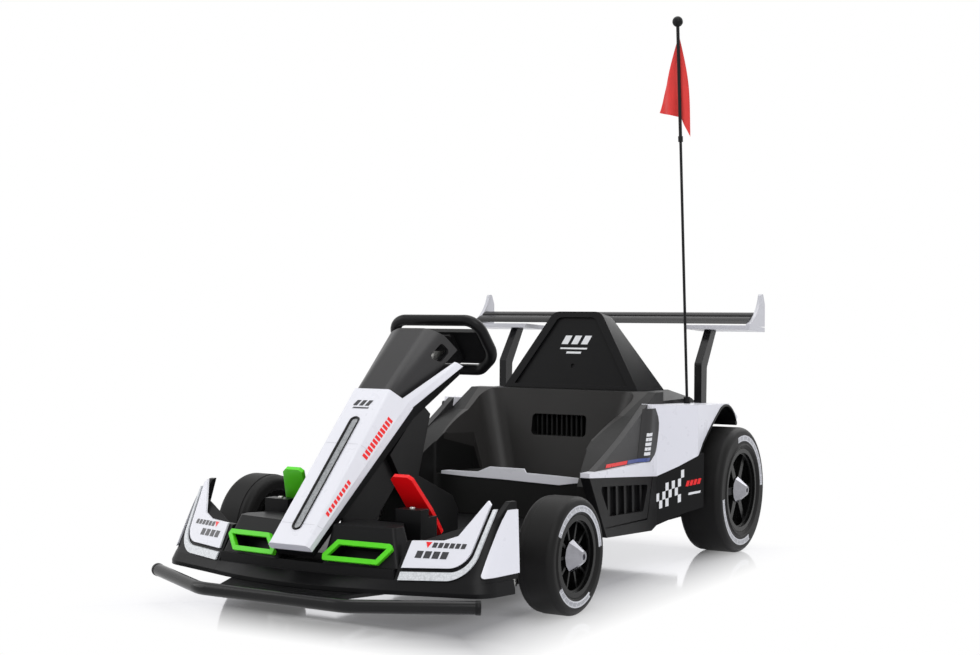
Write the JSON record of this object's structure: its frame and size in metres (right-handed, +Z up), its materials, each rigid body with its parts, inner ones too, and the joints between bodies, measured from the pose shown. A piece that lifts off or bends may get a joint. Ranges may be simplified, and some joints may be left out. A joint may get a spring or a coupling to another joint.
{
  "type": "electric drift kart",
  "caption": "Child's electric drift kart with a sloping nose, bucket seat, rear wing and flag mast; the wheels roll and the steering wheel turns the front wheels.",
  "frame": {"origin": "on the ground at the centre of the kart's outline, midway between its sides and midway between the bumper bar's front and the rear tyres' back", "axes": "+Z up, -Y the way the kart drives, +X to the driver's left"},
  "size_m": [0.734, 1.336, 1.1555],
  "materials": {
    "white_shell": "gloss",
    "black_shell": "satin",
    "dark_shell": "satin",
    "seat_shell": "gloss",
    "green_plastic": "gloss",
    "red_plastic": "gloss",
    "tyre_plastic": "matte",
    "rim_plastic": "gloss",
    "cap_metal": "polished",
    "black_steel": "gloss",
    "bare_steel": "satin",
    "lamp_lens": "gloss",
    "mast_plastic": "satin",
    "flag_cloth": "matte"
  },
  "bodies": {
    "chassis": {"floor_tub": "black_shell", "seat_bucket": "seat_shell", "seat_lip_trim": "white_shell", "rear_body": "black_shell", "headrest": "black_shell", "side_pods": "black_shell", "side_panels": "white_shell", "side_inserts": "dark_shell", "nose_cowl": "white_shell", "nose_light": "lamp_lens", "dash_cover": "dark_shell", "column_pylon": "black_shell", "front_bumper": "black_shell", "vent_frames": "green_plastic", "corner_panels": "white_shell", "corner_lamps": "lamp_lens", "corner_sides": "white_shell", "brake_pedal": "red_plastic", "accelerator_pedal": "green_plastic", "bumper_bar": "black_steel", "wing_blades": "black_shell", "wing_endplates": "white_shell", "wing_struts": "black_shell", "flag_mast": "mast_plastic", "flag": "flag_cloth", "rear_axle": "bare_steel", "gearboxes": "black_shell", "front_axle_beam": "black_steel"},
    "steering": {"steering_wheel": "black_shell", "steering_column": "bare_steel"},
    "lower_shaft": {"drop_shaft": "bare_steel"},
    "left_knuckle": {"knuckle_left": "black_steel"},
    "right_knuckle": {"knuckle_right": "black_steel"},
    "tie_link": {"tie_rod": "bare_steel"},
    "front_left_wheel": {"tyre_front_left": "tyre_plastic", "rim_front_left": "rim_plastic", "hub_cap_front_left": "cap_metal"},
    "front_right_wheel": {"tyre_front_right": "tyre_plastic", "rim_front_right": "rim_plastic", "hub_cap_front_right": "cap_metal"},
    "rear_left_wheel": {"tyre_rear_left": "tyre_plastic", "rim_rear_left": "rim_plastic", "hub_cap_rear_left": "cap_metal"},
    "rear_right_wheel": {"tyre_rear_right": "tyre_plastic", "rim_rear_right": "rim_plastic", "hub_cap_rear_right": "cap_metal"}
  },
  "joints": [
    {"name": "steering_turn", "type": "hinge", "parent": "chassis", "child": "steering", "pos_m": [0, -0.14397, 0.45201], "axis": [0, 0.8434, 0.5373], "range_deg": [-45, 45]},
    {"name": "lower_shaft_turn", "type": "hinge", "parent": "chassis", "child": "lower_shaft", "pos_m": [0, -0.24997, 0.38451], "axis": [0, 0.4695, 0.8829], "range_deg": [-45, 45]},
    {"name": "left_knuckle_turn", "type": "hinge", "parent": "chassis", "child": "left_knuckle", "pos_m": [0.262, -0.276, 0.101], "axis": [0, 0, 1], "range_deg": [-27, 27]},
    {"name": "right_knuckle_turn", "type": "hinge", "parent": "chassis", "child": "right_knuckle", "pos_m": [-0.262, -0.276, 0.101], "axis": [0, 0, 1], "range_deg": [-27, 27]},
    {"name": "tie_link_turn", "type": "hinge", "parent": "left_knuckle", "child": "tie_link", "pos_m": [0.262, -0.328, 0.0565], "axis": [0, 0, 1], "range_deg": [-27, 27]},
    {"name": "front_left_spin", "type": "hinge", "parent": "left_knuckle", "child": "front_left_wheel", "pos_m": [0.3225, -0.276, 0.101], "axis": [1, 0, 0], "continuous": true},
    {"name": "front_right_spin", "type": "hinge", "parent": "right_knuckle", "child": "front_right_wheel", "pos_m": [-0.3225, -0.276, 0.101], "axis": [1, 0, 0], "continuous": true},
    {"name": "rear_left_spin", "type": "hinge", "parent": "chassis", "child": "rear_left_wheel", "pos_m": [0.2945, 0.533, 0.135], "axis": [1, 0, 0], "continuous": true},
    {"name": "rear_right_spin", "type": "hinge", "parent": "chassis", "child": "rear_right_wheel", "pos_m": [-0.2945, 0.533, 0.135], "axis": [1, 0, 0], "continuous": true}
  ],
  "couplings": [
    {"joint": "lower_shaft_turn", "follows": "steering_turn", "ratio": 1},
    {"joint": "left_knuckle_turn", "follows": "steering_turn", "ratio": 0.6},
    {"joint": "right_knuckle_turn", "follows": "steering_turn", "ratio": 0.6},
    {"joint": "tie_link_turn", "follows": "steering_turn", "ratio": -0.6}
  ]
}
